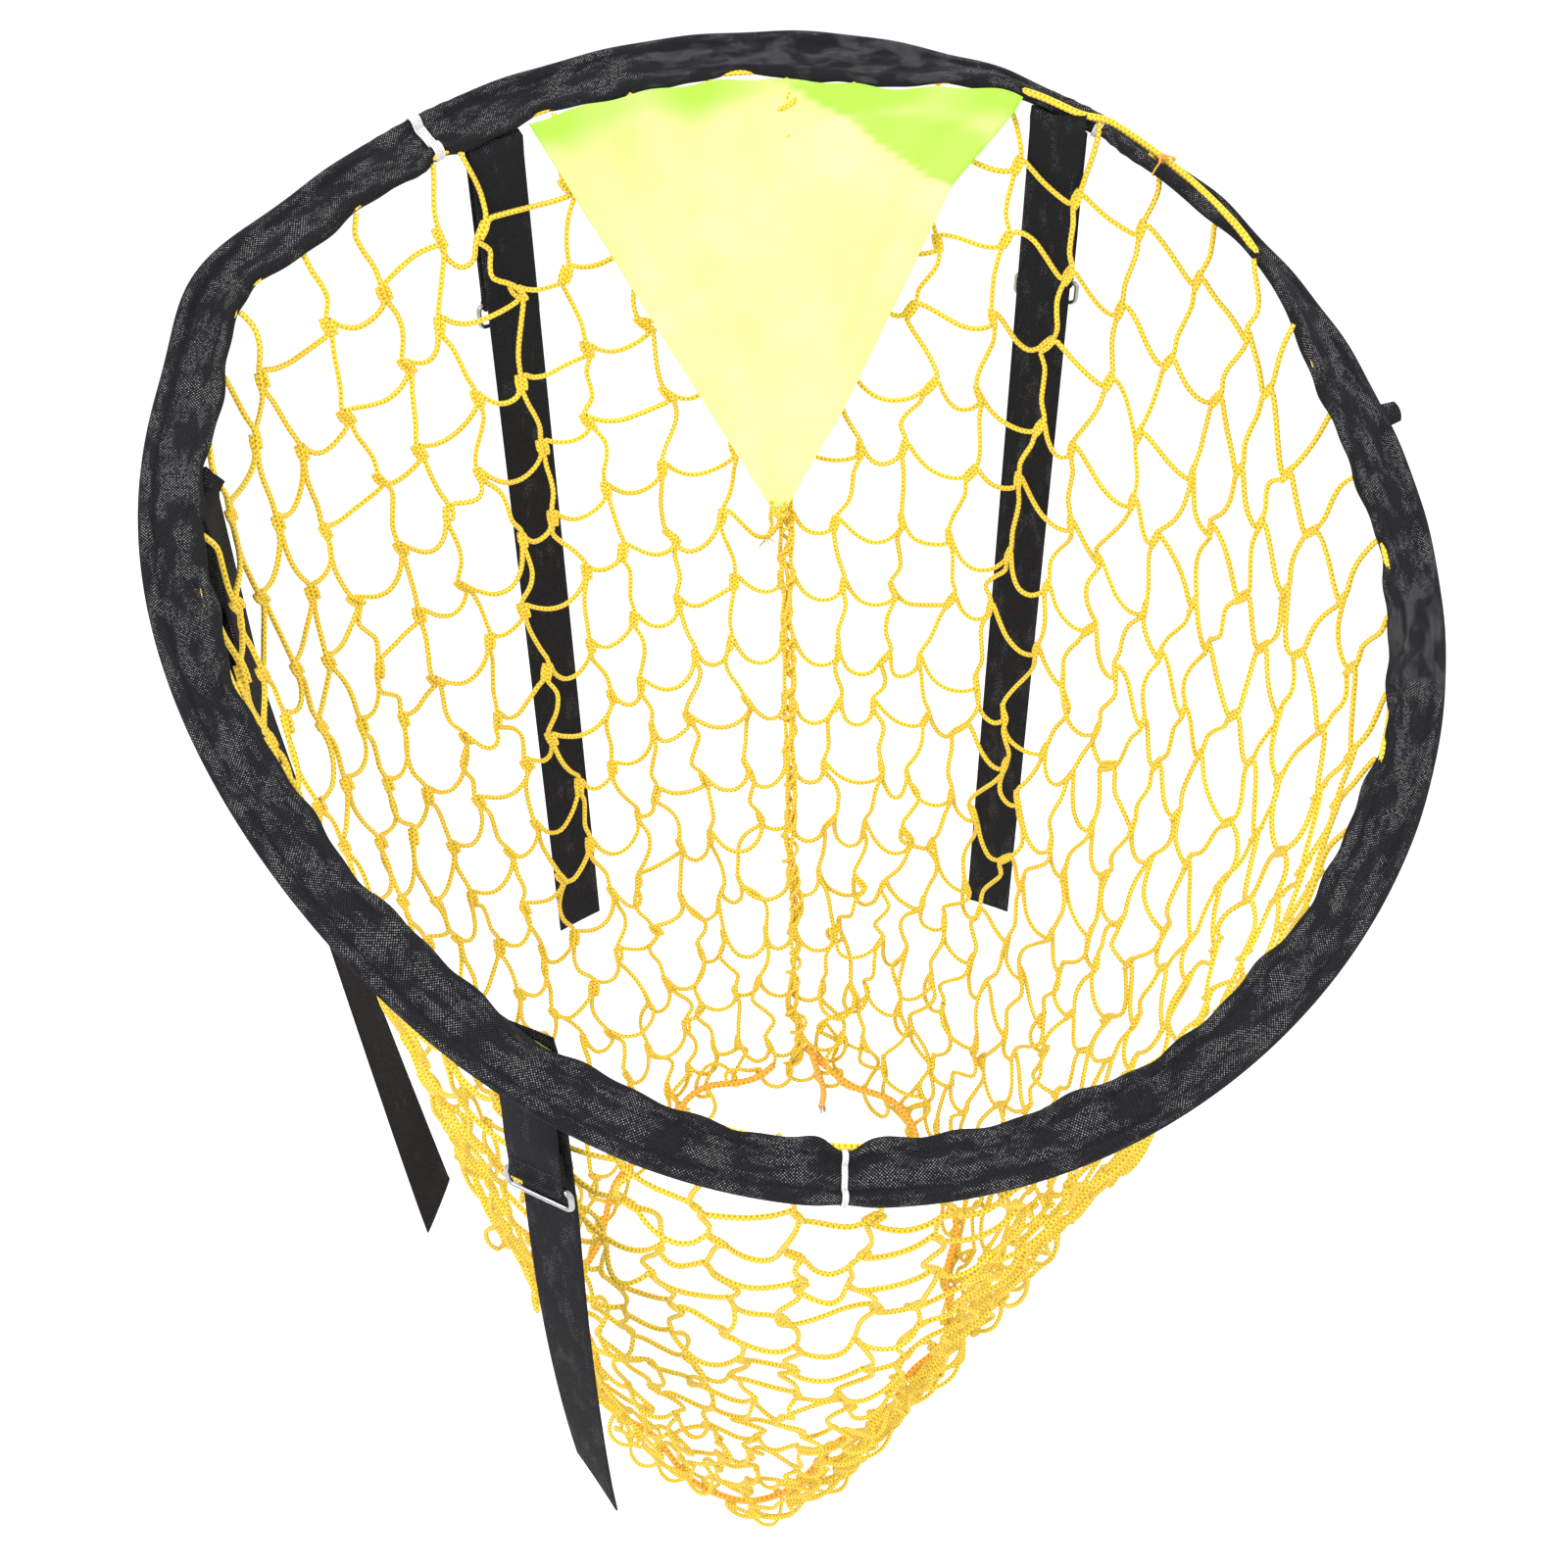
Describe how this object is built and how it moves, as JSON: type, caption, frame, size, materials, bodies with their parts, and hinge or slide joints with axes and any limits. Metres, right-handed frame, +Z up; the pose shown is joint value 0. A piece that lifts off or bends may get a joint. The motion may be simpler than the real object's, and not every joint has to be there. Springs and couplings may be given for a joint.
{
  "type": "top-corner target net",
  "caption": "Football target net: a sprung wire hoop in a black woven sleeve holds a tapering, open-ended yellow net with a lime pennant, and webbing straps with wire buckles tie it to a goal.",
  "frame": {"origin": "middle of the wire hoop", "axes": "+Z up, against gravity; +Y towards the high back edge of the hoop, where the pennant hangs; +X to the right as seen from the front"},
  "size_m": [0.6152, 0.5546, 0.8723],
  "materials": {
    "spring_wire": "drawn spring steel, dull grey",
    "ferrule": "crimped steel tube",
    "sleeve_fabric": "black plain-weave strip, folded and sewn, with a slight sheen on the yarns",
    "webbing": "black plain-weave polypropylene webbing",
    "net_cord": "yellow braided cord with ochre flecks",
    "outlet_rope": "orange braided cord, fuzzy",
    "pennant_fabric": "thin fluorescent lime cloth, translucent",
    "tie": "white",
    "buckle_wire": "bright nickel-plated wire"
  },
  "bodies": {
    "root": {"hoop_wire": "spring_wire", "hoop_ferrule": "ferrule", "sleeve_top": "sleeve_fabric", "sleeve_left": "sleeve_fabric", "sleeve_right": "sleeve_fabric", "tie_top_left": "tie", "tie_top_right": "tie", "tie_bottom": "tie", "head_cord": "net_cord", "net_bag": "net_cord", "outlet_rope": "outlet_rope", "seam_cord": "net_cord", "pennant": "pennant_fabric", "pennant_tie": "net_cord", "strap_top_left_saddle": "webbing", "strap_top_right_saddle": "webbing", "strap_left_saddle": "webbing", "strap_lower_left_saddle": "webbing"},
    "top_left_leg": {"strap_top_left_leg": "webbing"},
    "top_left_tab": {"strap_top_left_tab": "webbing"},
    "top_left_buckle": {"strap_top_left_buckle": "buckle_wire"},
    "top_right_leg": {"strap_top_right_leg": "webbing"},
    "top_right_tab": {"strap_top_right_tab": "webbing"},
    "top_right_buckle": {"strap_top_right_buckle": "buckle_wire"},
    "left_leg": {"strap_left_leg": "webbing"},
    "left_tab": {"strap_left_tab": "webbing"},
    "left_buckle": {"strap_left_buckle": "buckle_wire"},
    "lower_left_leg": {"strap_lower_left_leg": "webbing"},
    "lower_left_tab": {"strap_lower_left_tab": "webbing"},
    "lower_left_buckle": {"strap_lower_left_buckle": "buckle_wire"}
  },
  "joints": [
    {"name": "top_left_leg_swing", "type": "hinge", "parent": "root", "child": "top_left_leg", "pos_m": [-0.16158, 0.1871, -0.00789], "axis": [0.8399, 0.5427, 0], "range_deg": [-6, 90]},
    {"name": "top_left_tab_swing", "type": "hinge", "parent": "root", "child": "top_left_tab", "pos_m": [-0.16527, 0.19281, 0.10818], "axis": [0.8399, 0.5427, 0], "range_deg": [-1, 80]},
    {"name": "top_left_buckle_swing", "type": "hinge", "parent": "top_left_tab", "child": "top_left_buckle", "pos_m": [-0.16527, 0.19281, 0.02418], "axis": [0.8399, 0.5427, 0], "range_deg": [-10, 100]},
    {"name": "top_right_leg_swing", "type": "hinge", "parent": "root", "child": "top_right_leg", "pos_m": [0.12659, 0.22762, -0.01714], "axis": [0.9276, -0.3736, 0], "range_deg": [-6, 90]},
    {"name": "top_right_tab_swing", "type": "hinge", "parent": "root", "child": "top_right_tab", "pos_m": [0.12913, 0.23392, 0.09631], "axis": [0.9276, -0.3736, 0], "range_deg": [-1, 65]},
    {"name": "top_right_buckle_swing", "type": "hinge", "parent": "top_right_tab", "child": "top_right_buckle", "pos_m": [0.12913, 0.23392, 0.01231], "axis": [0.9276, -0.3736, 0], "range_deg": [-10, 100]},
    {"name": "left_leg_swing", "type": "hinge", "parent": "root", "child": "left_leg", "pos_m": [-0.27999, -0.00956, -0.08829], "axis": [-0.0603, 0.9982, 0], "range_deg": [-6, 90]},
    {"name": "left_tab_swing", "type": "hinge", "parent": "root", "child": "left_tab", "pos_m": [-0.28678, -0.00997, 0.0226], "axis": [-0.0603, 0.9982, 0], "range_deg": [-1, 70]},
    {"name": "left_buckle_swing", "type": "hinge", "parent": "left_tab", "child": "left_buckle", "pos_m": [-0.28678, -0.00997, -0.0614], "axis": [-0.0603, 0.9982, 0], "range_deg": [-10, 100]},
    {"name": "lower_left_leg_swing", "type": "hinge", "parent": "root", "child": "lower_left_leg", "pos_m": [-0.12785, -0.22024, -0.21654], "axis": [-0.8775, 0.4796, 0], "range_deg": [-6, 90]},
    {"name": "lower_left_tab_swing", "type": "hinge", "parent": "root", "child": "lower_left_tab", "pos_m": [-0.13111, -0.22621, -0.10374], "axis": [-0.8775, 0.4796, 0], "range_deg": [-1, 50]},
    {"name": "lower_left_buckle_swing", "type": "hinge", "parent": "lower_left_tab", "child": "lower_left_buckle", "pos_m": [-0.13111, -0.22621, -0.18774], "axis": [-0.8775, 0.4796, 0], "range_deg": [-10, 100]}
  ]
}
